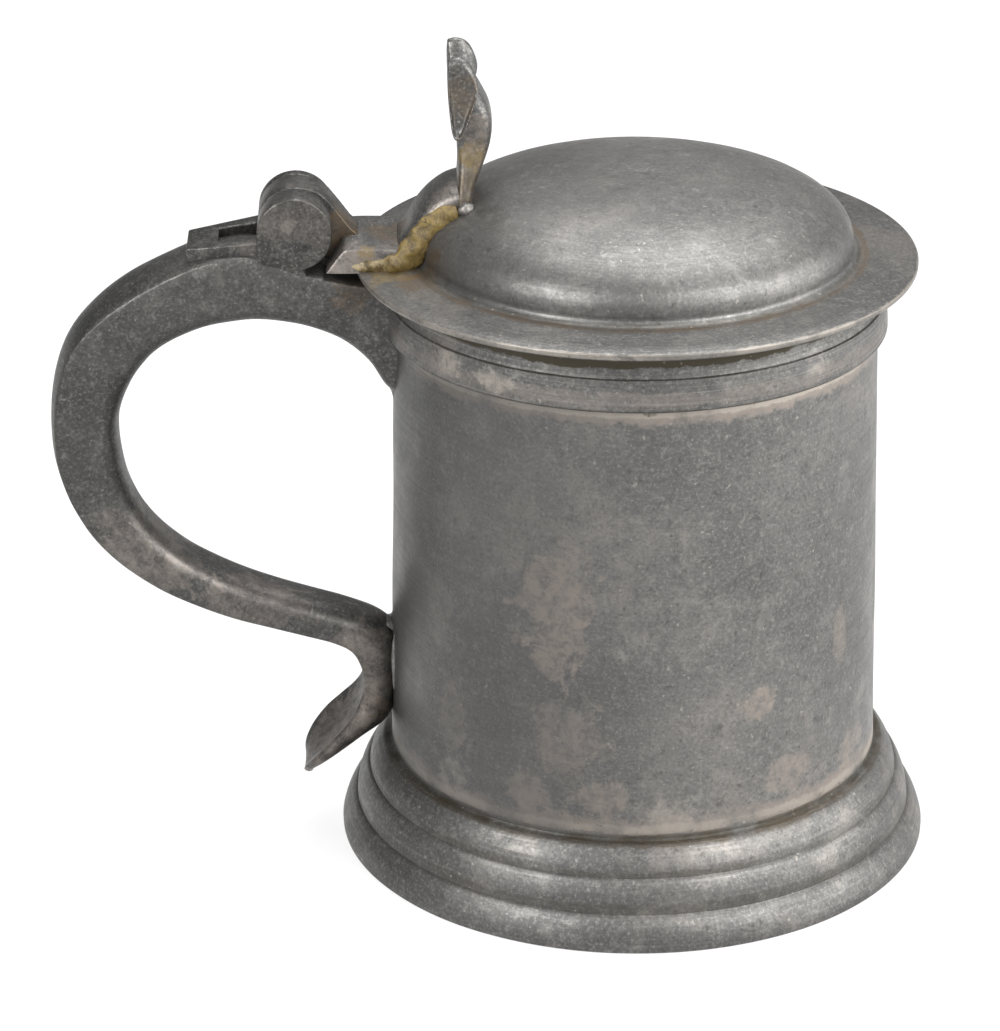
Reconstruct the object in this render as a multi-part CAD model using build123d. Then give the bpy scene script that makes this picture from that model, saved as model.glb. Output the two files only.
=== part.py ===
from build123d import *
from collections import namedtuple
import math
import os

# A dome-lidded drum tankard in cast pewter, in millimetres.
# The origin is the centre of the foot's base, +Z is up and the handle points along -X.

# Drum
drum_bottom_radius = 51.25
drum_taper = 1.9
drum_height = 106.1
drum_wall = 2.2
floor_thickness = 2.5

# Foot, with the flare of each moulding
foot_height = 20.0
foot_ledge = 1.65
foot_top_flare = 3.6
foot_mid_flare = 2.8
foot_low_flare = 2.7
foot_mid_height = 13.9
foot_low_height = 7.0
foot_edge_height = 1.8
foot_bulge = 0.7
foot_quirk = 0.5
foot_wall = 2.8
foot_shelf = 2.4
foot_shelf_reach = 6.25
foot_solder_size = 1.2

# Lip band, with how far each line stands out from the drum
band_height = 12.1
band_edge_proud = 1.93
band_line_height = 6.7
band_line_proud = 1.45
band_rim_proud = 1.15
band_bulge = 0.12
band_quirk = 0.3
band_cove = 0.35
band_solder_size = 1.0

# Lid
lid_gap = 0.3
lid_overhang = 7.95
lid_edge = 2.2
lid_slope = 0.7
lid_chamfer = 0.4
lid_side_room = 0.8
dome_inset = 3.15
dome_foot_step = 1.9
dome_foot_cove = 1.2
dome_rise = 15.2
dome_power = 2.4
dome_angles = (5, 12, 20, 30, 42, 56, 72, 90)
dome_wall = 1.8
bezel_clearance = 1.1
bezel_wall = 2.0
bezel_depth = 4.8

# Hinge
hinge_offset = 11.9
hinge_height = 7.5
hinge_width = 18.3
barrel_radius = 7.6
knuckle_near = -2.1
knuckle_far = 6.3
knuckle_side_gap = 0.1
knuckle_room = 0.4
pin_radius = 2.2
pin_running_gap = 0.05
pin_blind_wall = 2.6
pin_head_radius = 3.3
pin_head_height = 1.0
pin_head_round = 0.7
cheek_back = 7.0
cheek_front = 0.8
cheek_drop = 9.5
ramp_reach = 8.8
ramp_angle = 36.0
ramp_shoulder = 5.9

# Handle
handle_reach = 69.13
handle_low = 42.5
handle_low_width = 14.0
handle_wall = 2.0
strap_edge = 1.2
strap_crown = 1.2
strap_bevel = 5.0
shell_round = 4.0
closed_stations = 3
ledge_length = 22.0
ledge_width = 17.6
ledge_end_width = 11.6
ledge_drop = 3.9
ledge_slope = 0.15
slot_near = -3.2
slot_far = 4.0
slot_length = 15.6
root_solder_size = 3.0
root_solder_angle = 7.0
root_solder_length = 6.0
upper_solder_drop = 20.5
lower_solder_rise = 3.5

# Tail
tail_width = 17.0
tail_length = 31.0
tail_reach = 18.2
tail_neck_width = 13.0
tail_neck = 6.8
tail_neck_length = 9.0
tail_widest = 13.0
tail_edge = 1.2
tail_under_rise = 13.0
tail_scoop = 1.0
tail_scoop_radius = 10.0

# Bracket, thumbpiece and the old repair
bracket_width = 20.0
bracket_thickness = 5.0
bracket_overhang = 0.4
bracket_room = 2.5
bracket_round = 1.2
tongue_width = 17.0
tongue_thickness = 5.2
tongue_lap = 4.0
tongue_rise = 1.6
tongue_round = 3.0
thumb_inset = 10.3
thumb_height = 31.5
thumb_base_thickness = 4.3
thumb_thickness = 7.2
thumb_hollow = 1.5
thumb_base_width = 16.0
thumb_waist_width = 11.0
thumb_waist_height = 11.3
thumb_width = 19.0
thumb_lobe_radius = 4.6
horn_height = 21.4
horn_length = 13.9
horn_thickness = 3.9
horn_rise = 1.3
glue_width = 1.6
glue_height = 3.6
glue_setback = 2.5
glue_lap = 2.0
glue_bend = 0.39
glue_rise = 3.6
glue_film = 0.1

# Heights and places that follow from the sizes above
drum_top_radius = drum_bottom_radius - drum_taper
foot_top_radius = drum_bottom_radius + foot_ledge
foot_mid_radius = foot_top_radius + foot_top_flare
foot_low_radius = foot_mid_radius + foot_mid_flare
foot_radius = foot_low_radius + foot_low_flare
foot_shelf_radius = drum_bottom_radius - foot_shelf_reach
lid_radius = drum_top_radius + lid_overhang
dome_foot_radius = drum_top_radius - dome_inset
dome_radius = dome_foot_radius - dome_foot_step
thumb_setback = dome_radius - thumb_inset
rim_z = foot_height + drum_height
band_z = rim_z - band_height
lid_z = rim_z + lid_gap
brim_z = lid_z + lid_edge
dome_z = brim_z + lid_slope
hinge_x = -(lid_radius + hinge_offset)
hinge_z = brim_z + hinge_height
bracket_z = brim_z + bracket_thickness
bracket_low_z = brim_z - bracket_overhang
bracket_clear = barrel_radius + bracket_room
half_hinge = hinge_width / 2
cheek_near_inside = knuckle_near - knuckle_side_gap
cheek_far_inside = knuckle_far + knuckle_side_gap
handle_wide_z = hinge_z - 2 * barrel_radius

# The handle's back edge runs from the rim out and down to the drum again. Each station has its
# place as shares of the reach from the drum's side and of the rise, and its depth to the loop's inside.
Station = namedtuple("Station", "out up depth")
stations = [
    Station(-0.049, 0.982, 24.4),
    Station(0.103, 0.986, 14.6),
    Station(0.248, 1.012, 12.2),
    Station(0.401, 1.065, 15.8),
    Station(0.523, 1.053, 15.2),
    Station(0.674, 0.999, 13.6),
    Station(0.818, 0.927, 13.1),
    Station(0.921, 0.847, 13.6),
    Station(0.985, 0.726, 13.4),
    Station(1.000, 0.586, 12.4),
    Station(0.977, 0.458, 12.0),
    Station(0.909, 0.343, 10.8),
    Station(0.795, 0.238, 9.3),
    Station(0.627, 0.150, 8.3),
    Station(0.423, 0.084, 7.2),
    Station(0.220, 0.037, 6.7),
    Station(0.088, 0.000, 6.6),
    Station(-0.057, -0.048, 6.6),
]


def bulge(start, end, rise):
    """Middle of an arc from start to end that stands out by rise to the right of the way."""
    dx = end[0] - start[0]
    dz = end[1] - start[1]
    length = math.hypot(dx, dz)
    return (
        (start[0] + end[0]) / 2 + rise * dz / length,
        (start[1] + end[1]) / 2 - rise * dx / length,
    )


def outline(start, *steps):
    """Closed face: a step is the end of a line, or a list whose points a curve runs through."""
    edges = []
    here = start
    for step in steps:
        if isinstance(step, list):
            end = step[-1]
            if len(step) == 2:
                edges.append(ThreePointArc(here, *step))
            else:
                edges.append(Spline(here, *step))
        else:
            end = step
            edges.append(Line(here, end))
        here = end
    if math.dist(here, start) > 1e-6:
        edges.append(Line(here, start))
    return make_face(edges)


def turned(face):
    """Solid of revolution about the drum's axis from a face in radius and height."""
    return revolve(Plane.XZ * face, Axis.Z)


def across(face, near, far):
    """Solid from a face in x and z, from y = near to y = far."""
    return Pos(0, near, 0) * extrude(Plane.XZ * face, far - near, dir=(0, 1, 0))


def rod(x, z, radius, near, far):
    """Round bar along Y."""
    return across(Pos(x, z) * Circle(radius), near, far)


def drum_radius(z):
    """Outside radius of the tapered drum at a height."""
    share = (z - foot_height) / drum_height
    return drum_bottom_radius + share * (drum_top_radius - drum_bottom_radius)


def make_foot():
    low = (foot_low_radius, foot_low_height)
    mid = (foot_mid_radius, foot_mid_height)
    top = (foot_top_radius, foot_height)
    edge = (foot_radius, foot_edge_height)
    low_start = (foot_low_radius - foot_quirk, foot_low_height)
    mid_start = (foot_mid_radius - foot_quirk, foot_mid_height)
    shelf_z = foot_height - foot_shelf
    return turned(
        outline(
            (foot_radius - foot_wall, 0),
            (foot_radius, 0),
            edge,
            [bulge(edge, low, foot_bulge), low],
            low_start,
            [bulge(low_start, mid, foot_bulge), mid],
            mid_start,
            [bulge(mid_start, top, foot_bulge), top],
            (foot_shelf_radius, foot_height),
            (foot_shelf_radius, shelf_z),
            (foot_top_radius - foot_wall, shelf_z),
        )
    )


def make_drum():
    return turned(
        outline(
            (drum_bottom_radius - drum_wall, foot_height),
            (drum_bottom_radius, foot_height),
            (drum_top_radius, rim_z),
            (drum_top_radius - drum_wall, rim_z),
        )
    )


def make_drum_block():
    """The drum without its hollow, for seating what lies against it."""
    return turned(
        outline((0, 0), (drum_radius(0), 0), (drum_radius(2 * rim_z), 2 * rim_z), (0, 2 * rim_z))
    )


def make_floor():
    top_z = foot_height + floor_thickness
    return turned(
        outline(
            (0, foot_height),
            (drum_bottom_radius - drum_wall, foot_height),
            (drum_radius(top_z) - drum_wall, top_z),
            (0, top_z),
        )
    )


def make_foot_solder():
    upper_z = foot_height + foot_solder_size
    return turned(
        outline(
            (drum_bottom_radius, foot_height),
            (drum_bottom_radius + foot_solder_size, foot_height),
            (drum_radius(upper_z), upper_z),
        )
    )


def make_band():
    line_z = band_z + band_line_height
    line_radius = drum_radius(line_z) + band_line_proud
    lower = (drum_radius(band_z) + band_edge_proud, band_z)
    line = (line_radius, line_z)
    line_start = (line_radius - band_quirk, line_z)
    rim = (drum_top_radius + band_rim_proud, rim_z)
    return turned(
        outline(
            (drum_radius(band_z), band_z),
            lower,
            [bulge(lower, line, band_bulge), line],
            line_start,
            [bulge(line_start, rim, -band_cove), rim],
            (drum_top_radius, rim_z),
        )
    )


def make_band_solder():
    lower_z = band_z - band_solder_size
    return turned(
        outline(
            (drum_radius(band_z), band_z),
            (drum_radius(lower_z), lower_z),
            (drum_radius(band_z) + band_solder_size, band_z),
        )
    )


def make_flange():
    inner = drum_top_radius - drum_wall - bezel_clearance - bezel_wall
    return turned(
        outline(
            (inner, lid_z),
            (lid_radius, lid_z),
            (lid_radius, brim_z - lid_chamfer),
            (lid_radius - lid_chamfer, brim_z),
            (dome_foot_radius, dome_z),
            (inner, dome_z),
        )
    )


def dome_top(radius):
    """Height of the dome's outside at a radius."""
    share = min(radius / dome_radius, 1.0)
    return dome_z + dome_foot_cove + dome_rise * (1 - share**dome_power) ** (1 / dome_power)


def dome_curve(wall):
    """Points of the dome's bun-shaped profile, from the spring to the crown."""
    points = []
    for angle in dome_angles:
        radius = (dome_radius - wall) * math.cos(math.radians(angle)) ** (2 / dome_power)
        height = (dome_rise - wall) * math.sin(math.radians(angle)) ** (2 / dome_power)
        points.append((radius, dome_z + dome_foot_cove + height))
    return points


def make_dome_block(film=0.0):
    """The dome without its hollow, or that much thicker by a film."""
    foot = (dome_foot_radius + film, dome_z)
    spring = (dome_radius + film, dome_z + dome_foot_cove)
    cove = [bulge(foot, spring, -dome_foot_cove / 3), spring]
    return turned(outline((0, dome_z), foot, cove, dome_curve(-film)))


def make_dome():
    inside_radius = dome_radius - dome_wall
    spring = (inside_radius, dome_z + dome_foot_cove)
    hollow = outline((0, dome_z), (inside_radius, dome_z), spring, dome_curve(dome_wall))
    return make_dome_block() - turned(hollow)


def make_bezel():
    outer = drum_top_radius - drum_wall - bezel_clearance
    low_z = lid_z - bezel_depth
    chamfer_size = bezel_wall / 2
    return turned(
        outline(
            (outer - bezel_wall, lid_z),
            (outer - bezel_wall, low_z),
            (outer - chamfer_size, low_z),
            (outer, low_z + chamfer_size),
            (outer, lid_z),
        )
    )


def station_place(station):
    """Back edge of the handle at a station, as x and z."""
    z = handle_low + station.up * (rim_z - handle_low)
    x = -(drum_radius(z) + station.out * handle_reach)
    return x, z


def handle_line(depths, ends=0):
    """Points along the handle at a depth below its back edge, one for each station kept."""
    places = [station_place(station) for station in stations]
    points = []
    for index in range(ends, len(places) - ends):
        before = places[max(index - 1, 0)]
        after = places[min(index + 1, len(places) - 1)]
        way = Vector(after[0] - before[0], after[1] - before[1]).normalized()
        x, z = places[index]
        points.append((x - way.Y * depths[index], z + way.X * depths[index]))
    return points


def handle_face(outer, inner):
    """Side view of a layer of the handle between two lines of points."""
    return make_face(
        [Spline(*outer), Line(outer[-1], inner[-1]), Spline(*inner), Line(inner[0], outer[0])]
    )


def make_taper():
    """Block that narrows the handle, from its full width under the hinge to the low joint."""
    half_low = handle_low_width / 2
    slope = (half_hinge - half_low) / (handle_wide_z - handle_low)
    half_top = half_low + slope * (hinge_z - handle_low)
    front = outline(
        (half_low, 0),
        (half_low, handle_low),
        (half_top, hinge_z),
        (-half_top, hinge_z),
        (-half_low, handle_low),
        (-half_low, 0),
    )
    return extrude(Plane.YZ * front, 2 * (drum_bottom_radius + handle_reach), both=True)


def make_handle():
    """Crowned back strap and rounded shell, both still solid and uncut."""
    taper = make_taper()
    crest = handle_line([-strap_crown for station in stations])
    seam = handle_line([strap_edge for station in stations])
    inside = handle_line([station.depth for station in stations])
    strap = across(handle_face(crest, seam), -half_hinge, half_hinge)
    long_edges = strap.edges().filter_by(GeomType.BSPLINE).sort_by(SortBy.LENGTH)
    back = strap.faces().filter_by(GeomType.EXTRUSION).sort_by(SortBy.AREA)[-1]
    strap = chamfer(long_edges[-2:], strap_bevel, strap_crown, reference=back) & taper
    shell = across(handle_face(seam, inside), -half_hinge, half_hinge) & taper
    loop_middle = (-(drum_bottom_radius + handle_reach / 2), 0, (handle_low + rim_z) / 2)
    loop_face = shell.faces().sort_by_distance(loop_middle)[0]
    return strap, fillet(loop_face.edges().filter_by(GeomType.BSPLINE), shell_round)


def make_cavity():
    """Hollow of the cast handle, closed at both ends and open to the back strap."""
    outer = handle_line([0 for station in stations], closed_stations)
    inner = handle_line([station.depth - handle_wall for station in stations], closed_stations)
    half = handle_low_width / 2 - handle_wall
    return across(handle_face(outer, inner), -half, half)


def make_knuckle_room():
    """Clearance round the turning knuckle."""
    return rod(
        hinge_x,
        hinge_z,
        barrel_radius + knuckle_room,
        cheek_near_inside,
        cheek_far_inside,
    )


def make_ledge_block():
    """Wedge behind the barrel with a slot in its top."""
    end_x = hinge_x - ledge_length
    end_z = hinge_z - ledge_drop
    front_x = hinge_x - cheek_back
    front_z = end_z + ledge_slope * (front_x - end_x)
    side = across(
        outline((end_x, handle_wide_z), (front_x, handle_wide_z), (front_x, front_z), (end_x, end_z)),
        -half_hinge,
        half_hinge,
    )
    half_end = ledge_end_width / 2
    half_front = ledge_width / 2
    plan = outline(
        (end_x, -half_end), (front_x, -half_front), (front_x, half_front), (end_x, half_end)
    )
    slot = outline(
        (hinge_x - slot_length, slot_near),
        (hinge_x, slot_near),
        (hinge_x, slot_far),
        (hinge_x - slot_length, slot_far),
    )
    return side & extrude(plan - slot, hinge_z, dir=(0, 0, 1))


def make_cheek(near, far):
    """Round cheek on a short pedestal that stands on the handle."""
    disc = rod(hinge_x, hinge_z, barrel_radius, near, far)
    pedestal = across(
        outline(
            (hinge_x - cheek_back, hinge_z),
            (hinge_x - cheek_back, hinge_z - cheek_drop),
            (hinge_x + cheek_front, hinge_z - cheek_drop),
            (hinge_x + cheek_front, hinge_z),
        ),
        near,
        far,
    )
    return disc + pedestal


def make_pin():
    near = -half_hinge + pin_blind_wall
    shaft = rod(hinge_x, hinge_z, pin_radius, near, half_hinge)
    head = rod(hinge_x, hinge_z, pin_head_radius, half_hinge, half_hinge + pin_head_height)
    rim = head.faces().sort_by(Axis.Y)[-1].edges()
    return shaft + fillet(rim, pin_head_round)


def about_hinge(radius, angle):
    """Point about the hinge's axis at an angle above +X, as x and z."""
    return hinge_x + radius * math.cos(angle), hinge_z + radius * math.sin(angle)


def make_knuckle():
    """Middle of the barrel with the ramp that leads down to the bracket."""
    turn = math.radians(ramp_angle)

    def ramp_x(z):
        return hinge_x + (ramp_reach - (z - hinge_z) * math.sin(turn)) / math.cos(turn)

    low_turn = math.asin((bracket_low_z - hinge_z) / bracket_clear)
    shoulder_z = hinge_z + ramp_shoulder
    ramp = outline(
        (hinge_x, hinge_z),
        (hinge_x, hinge_z + barrel_radius),
        (ramp_x(shoulder_z), shoulder_z),
        (ramp_x(bracket_z), bracket_z),
        (ramp_x(bracket_z), bracket_low_z),
        about_hinge(bracket_clear, low_turn),
    )
    barrel = rod(hinge_x, hinge_z, barrel_radius, knuckle_near, knuckle_far)
    bore = rod(hinge_x, hinge_z, pin_radius + pin_running_gap, knuckle_near, knuckle_far)
    return barrel + across(ramp, knuckle_near, knuckle_far) - bore


def make_bracket():
    """Strap over the brim and the rounded tongue up the dome, to the foot of the thumbpiece."""
    low_turn = math.asin((bracket_low_z - hinge_z) / bracket_clear)
    top_turn = math.asin((bracket_z - hinge_z) / bracket_clear)
    low_end = about_hinge(bracket_clear, low_turn)
    strap = across(
        outline(
            low_end,
            (-dome_radius, bracket_low_z),
            (-dome_radius, bracket_z),
            about_hinge(bracket_clear, top_turn),
            [about_hinge(bracket_clear, (low_turn + top_turn) / 2), low_end],
        ),
        -bracket_width / 2,
        bracket_width / 2,
    )
    top_edges = strap.faces().sort_by(Axis.Z)[-1].edges().filter_by(Axis.X)
    strap = fillet(top_edges, bracket_round)
    end_x = -(thumb_setback + thumb_base_thickness / 2)
    start = (-(dome_radius + tongue_lap), bracket_z - bracket_round)
    end = (end_x, dome_top(-end_x) + tongue_thickness)
    tongue = across(
        outline((end_x, dome_z), start, [bulge(start, end, -tongue_rise), end]),
        -tongue_width / 2,
        tongue_width / 2,
    )
    return strap + fillet(tongue.edges().filter_by(GeomType.CIRCLE), tongue_round)


def make_thumbpiece():
    """Curved stem that spreads into two lobes, with a scrolled horn on the outside of each."""
    left = -(thumb_setback + thumb_base_thickness / 2)
    right = left + thumb_base_thickness
    base_z = dome_top(thumb_setback)
    top_z = base_z + thumb_height
    middle_z = base_z + thumb_height / 2
    side = across(
        outline(
            (left, dome_z),
            (right, dome_z),
            (right, base_z),
            [(left + thumb_thickness, middle_z), (left, top_z)],
            [(left - thumb_hollow, (middle_z + top_z) / 2), (left, middle_z)],
        ),
        -thumb_width,
        thumb_width,
    )
    lobe_y = thumb_width / 2 - thumb_lobe_radius
    lobe_z = top_z - thumb_lobe_radius
    waist_z = base_z + thumb_waist_height
    half_base = thumb_base_width / 2
    half_waist = thumb_waist_width / 2
    half_top = thumb_width / 2
    front = outline(
        (half_base, dome_z),
        (half_base, base_z),
        (half_waist, waist_z),
        (half_top, lobe_z - thumb_lobe_radius),
        (half_top, lobe_z),
        (-half_top, lobe_z),
        (-half_top, lobe_z - thumb_lobe_radius),
        (-half_waist, waist_z),
        (-half_base, base_z),
        (-half_base, dome_z),
    )
    front += [Pos(y, lobe_z) * Circle(thumb_lobe_radius) for y in (-lobe_y, lobe_y)]
    stem = side & extrude(Plane.YZ * front, 2 * thumb_setback, both=True)
    scroll = Pos(left - thumb_hollow + horn_thickness / 2, base_z + horn_height) * Ellipse(
        horn_thickness / 2, horn_length / 2
    )
    return stem + [
        across(scroll, half_waist, half_top + horn_rise),
        across(scroll, -half_top - horn_rise, -half_waist),
    ]


def make_tail():
    """Scooped spade that hangs from the handle's low joint and flares away from the drum."""
    joint_radius = drum_radius(handle_low)
    seat_x = -(joint_radius - drum_wall)
    neck_x = -(joint_radius + tail_neck)
    tip_x = -(joint_radius + tail_reach)
    tip_z = handle_low - tail_length
    neck = (neck_x, handle_low - tail_neck_length)
    tip = (tip_x, tip_z + tail_edge)
    back = Spline(neck, tip, tangents=((0, -1), (0, -1)), tangent_scalars=(1.6, 0.8))
    rest = Polyline(
        tip,
        (tip_x + tail_edge, tip_z),
        (seat_x, tip_z + tail_under_rise),
        (seat_x, handle_low),
        (neck_x, handle_low),
        neck,
    )
    side = across(make_face([back, rest]), -tail_width / 2, tail_width / 2)
    half_neck = tail_neck_width / 2
    wide_z = tip_z + tail_widest
    neck_front = outline(
        (half_neck, handle_low), (tail_width / 2, wide_z), (-tail_width / 2, wide_z), (-half_neck, handle_low)
    )
    front = neck_front + Pos(0, wide_z) * Ellipse(tail_width / 2, tail_widest)
    spade = side & extrude(Plane.YZ * front, 2 * (joint_radius + tail_reach), both=True)
    middle = back @ 0.5
    way = Vector(tip[0] - middle.X, 0, tip[1] - middle.Y).normalized()
    out = Vector(way.Z, 0, -way.X)
    start = Vector(middle.X, 0, middle.Y) - way * tail_neck
    bed = Plane(origin=start + out * (tail_scoop_radius - tail_scoop), x_dir=(0, 1, 0), z_dir=way)
    scoop = extrude(bed * Circle(tail_scoop_radius), tail_length)
    return spade - scoop


def make_glue():
    """Bead of adhesive along the near foot of the bracket, over the brim and up the dome."""
    start_x = -(lid_radius - glue_setback)
    corner_x = -(dome_radius + glue_lap)
    end_x = -thumb_setback
    bend_x = corner_x + glue_bend * (end_x - corner_x)
    bend = (bend_x, dome_top(math.hypot(bend_x, bracket_width / 2)) + glue_rise)
    crown = (end_x, dome_top(thumb_setback) + glue_height / 2)
    return across(
        outline(
            (start_x, brim_z - lid_edge / 2),
            (start_x, brim_z + glue_height),
            (corner_x, brim_z + glue_height),
            [bend, crown],
            (end_x, dome_z + glue_film),
            (-dome_radius, dome_z + glue_film),
        ),
        -bracket_width / 2 - glue_width,
        -tongue_width / 2 - glue_film,
    )


def make_root_solder(tip_z, base_z):
    """Fillet of solder on the drum, from a feather edge to its full size at a handle joint."""
    face = outline(
        (drum_radius(tip_z), tip_z),
        (drum_radius(base_z) + root_solder_size, base_z),
        (drum_radius(base_z), base_z),
    )
    sector = revolve(Plane.XZ * face, Axis.Z, 2 * root_solder_angle)
    return Rot(0, 0, 180 - root_solder_angle) * sector


def make_lid_room():
    """Clearance under and beside the closed lid."""
    return turned(
        outline(
            (0, rim_z),
            (lid_radius + lid_side_room, rim_z),
            (lid_radius + lid_side_room, 2 * rim_z),
            (0, 2 * rim_z),
        )
    )


def build():
    """Every sub-part by node name."""
    drum_block = make_drum_block()
    foot = make_foot()
    foot_solder = make_foot_solder()
    band = make_band()
    band_solder = make_band_solder()

    strap, shell = make_handle()
    room = make_knuckle_room()
    lid_room = make_lid_room()
    seats = [drum_block, band, band_solder, room, lid_room]
    handle = [strap, shell]

    pin = make_pin()
    cheek_near = make_cheek(-half_hinge, cheek_near_inside) - [*handle, pin]
    cheek_far = make_cheek(cheek_far_inside, half_hinge) - [*handle, pin]
    ledge = make_ledge_block() - [*handle, cheek_near, cheek_far, room]

    flange = make_flange()
    dome_block = make_dome_block()
    knuckle = make_knuckle() - flange
    thumbpiece = make_thumbpiece() - dome_block
    bracket = make_bracket() - [flange, dome_block, knuckle, thumbpiece]
    glue_seat = Pos(0, 0, -glue_film / 2) * make_dome_block(2 * glue_film)
    glue = make_glue() - flange - glue_seat - bracket - thumbpiece
    glue_bead = glue.solids().sort_by(SortBy.VOLUME)[-1]
    tail = make_tail() - [drum_block, *handle, foot, foot_solder]
    upper_z = rim_z - upper_solder_drop
    lower_z = handle_low + lower_solder_rise
    upper_solder = make_root_solder(upper_z - root_solder_length, upper_z) - handle
    lower_solder = make_root_solder(lower_z + root_solder_length, lower_z) - handle
    return {
        "drum": make_drum(),
        "drum_floor": make_floor(),
        "foot_ring": foot,
        "foot_solder": foot_solder,
        "lip_band": band,
        "lip_solder": band_solder,
        "handle_shell": shell - [make_cavity(), *seats],
        "handle_back": strap - seats,
        "handle_tail": tail,
        "upper_handle_solder": upper_solder,
        "lower_handle_solder": lower_solder,
        "hinge_ledge": ledge,
        "hinge_cheek_near": cheek_near,
        "hinge_cheek_far": cheek_far,
        "hinge_pin": pin,
        "lid_flange": flange,
        "lid_dome": make_dome(),
        "lid_bezel": make_bezel(),
        "lid_knuckle": knuckle,
        "lid_bracket": bracket,
        "thumbpiece": thumbpiece,
        "repair_adhesive": glue_bead,
    }


os.makedirs("parts", exist_ok=True)
for name, solid in build().items():
    export_step(solid, f"parts/{name}.step")
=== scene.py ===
import math
import bmesh
import bpy
from mathutils import Matrix, Vector, noise


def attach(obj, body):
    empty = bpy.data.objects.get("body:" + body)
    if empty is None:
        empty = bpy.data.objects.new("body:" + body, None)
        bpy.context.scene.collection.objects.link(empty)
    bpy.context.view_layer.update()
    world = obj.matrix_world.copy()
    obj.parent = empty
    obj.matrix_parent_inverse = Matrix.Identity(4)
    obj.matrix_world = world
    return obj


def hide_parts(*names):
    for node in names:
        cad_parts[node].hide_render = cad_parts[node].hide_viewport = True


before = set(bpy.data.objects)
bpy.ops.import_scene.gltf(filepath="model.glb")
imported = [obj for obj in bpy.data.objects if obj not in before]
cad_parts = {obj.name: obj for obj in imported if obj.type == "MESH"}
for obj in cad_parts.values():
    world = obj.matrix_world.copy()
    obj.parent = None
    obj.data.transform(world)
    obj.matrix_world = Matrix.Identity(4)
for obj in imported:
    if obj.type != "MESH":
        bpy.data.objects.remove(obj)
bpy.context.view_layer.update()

# The shapes below are written in millimetres in the model's frame and turned into metres here.
MM = 0.001

# Edges bent less than this are shaded smooth, in degrees.
SMOOTH_UP_TO = 35.0

# Turned pieces. Pairs are radius and height.
SEGMENTS = 192
WOBBLE_GRAIN = 0.045
DRUM_BOTTOM = (51.25, 20.0)
DRUM_TOP = (49.35, 126.1)
DRUM_WALL = 2.2
DRUM_ROWS = 40
BAND_LOW = 114.0
BAND_LINE = 120.7
LID_LOW = 126.4
BRIM_TOP = 128.6
BRIM_RADIUS = 57.3
DOME_FOOT = (46.2, 129.3)
DOME_SPRING = 130.5
DOME_RADIUS = 44.3
DOME_RISE = 15.2
DOME_POWER = 2.4
DOME_WALL = 1.8
DOME_ANGLES = (0, 1, 2.5, 4.5, 7, 10, 14, 18, 23, 28, 34, 40, 46, 52, 58, 64, 70, 75, 80, 84, 87, 90)

# Hinge: its axis as x and z, then the barrel's radius, half its length and the knuckle's two ends in y.
HINGE = (-69.2, 136.1)
BARREL = 7.6
HALF_HINGE = 9.15
KNUCKLE = (-2.1, 6.3)
KNUCKLE_GAP = 0.1
KNUCKLE_ROOM = 0.4
KNUCKLE_BEVEL = 0.3
LUG_BEVEL = 0.35
LUG_PROUD = 0.05
ROOM_SIDES = 96


def smooth_line(points, per_span):
    """Catmull-Rom line through points of any number of values, with per_span samples to each span."""
    last = len(points) - 1
    line = []
    for i in range(last):
        before = points[max(i - 1, 0)]
        start = points[i]
        end = points[i + 1]
        after = points[min(i + 2, last)]
        for step in range(per_span):
            t = step / per_span
            sample = []
            for a, b, c, d in zip(before, start, end, after):
                bend = 2 * a - 5 * b + 4 * c - d
                twist = 3 * b - a - 3 * c + d
                sample.append(b + 0.5 * t * (c - a + t * (bend + t * twist)))
            line.append(sample)
    line.append(list(points[-1]))
    return line


def arc(start, end, rise, count):
    """Points after start and up to end, on a shallow curve that bulges by rise to the right of the way."""
    dx = end[0] - start[0]
    dz = end[1] - start[1]
    length = math.hypot(dx, dz)
    points = []
    for i in range(1, count + 1):
        t = i / count
        out = rise * 4 * t * (1 - t) / length
        points.append((start[0] + t * dx + out * dz, start[1] + t * dz - out * dx))
    return points


def add_mesh(name, verts, faces, sharp=SMOOTH_UP_TO):
    """Mesh object from points in millimetres, smooth apart from edges sharper than the angle."""
    mesh = bpy.data.meshes.new(name)
    mesh.from_pydata([Vector(v) * MM for v in verts], [], faces)
    mesh.validate()
    tidy = bmesh.new()
    tidy.from_mesh(mesh)
    bmesh.ops.recalc_face_normals(tidy, faces=tidy.faces)
    tidy.to_mesh(mesh)
    tidy.free()
    mesh.shade_smooth()
    mesh.set_sharp_from_angle(angle=math.radians(sharp))
    piece = bpy.data.objects.new(name, mesh)
    bpy.context.collection.objects.link(piece)
    return piece


def seat(piece, body, slot, material, *nodes):
    """Gives a piece its body and finish, and hides the CAD nodes that it stands for."""
    piece.data.materials.clear()
    piece.data.materials.append(material)
    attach(piece, body)
    if nodes:
        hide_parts(*nodes)


def apply_modifiers(piece):
    """Turns what a piece's modifiers make into its own mesh."""
    depsgraph = bpy.context.evaluated_depsgraph_get()
    made = bpy.data.meshes.new_from_object(piece.evaluated_get(depsgraph))
    piece.modifiers.clear()
    piece.data = made


def lathe(name, profile, wobble, sharp=SMOOTH_UP_TO):
    """Closed ring turned about Z from a closed profile of radius and height, a little uneven by wobble."""
    verts = []
    faces = []
    rows = len(profile)
    for s in range(SEGMENTS):
        turn = 2 * math.pi * s / SEGMENTS
        across = Vector((math.cos(turn), math.sin(turn), 0))
        for radius, z in profile:
            at = Vector((across.x * radius, across.y * radius, z))
            radius += wobble * noise.noise(at * WOBBLE_GRAIN)
            verts.append((across.x * radius, across.y * radius, z))
    for s in range(SEGMENTS):
        after = (s + 1) % SEGMENTS
        for r in range(rows):
            up = (r + 1) % rows
            faces.append((s * rows + r, after * rows + r, after * rows + up, s * rows + up))
    return add_mesh(name, verts, faces, sharp)


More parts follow.
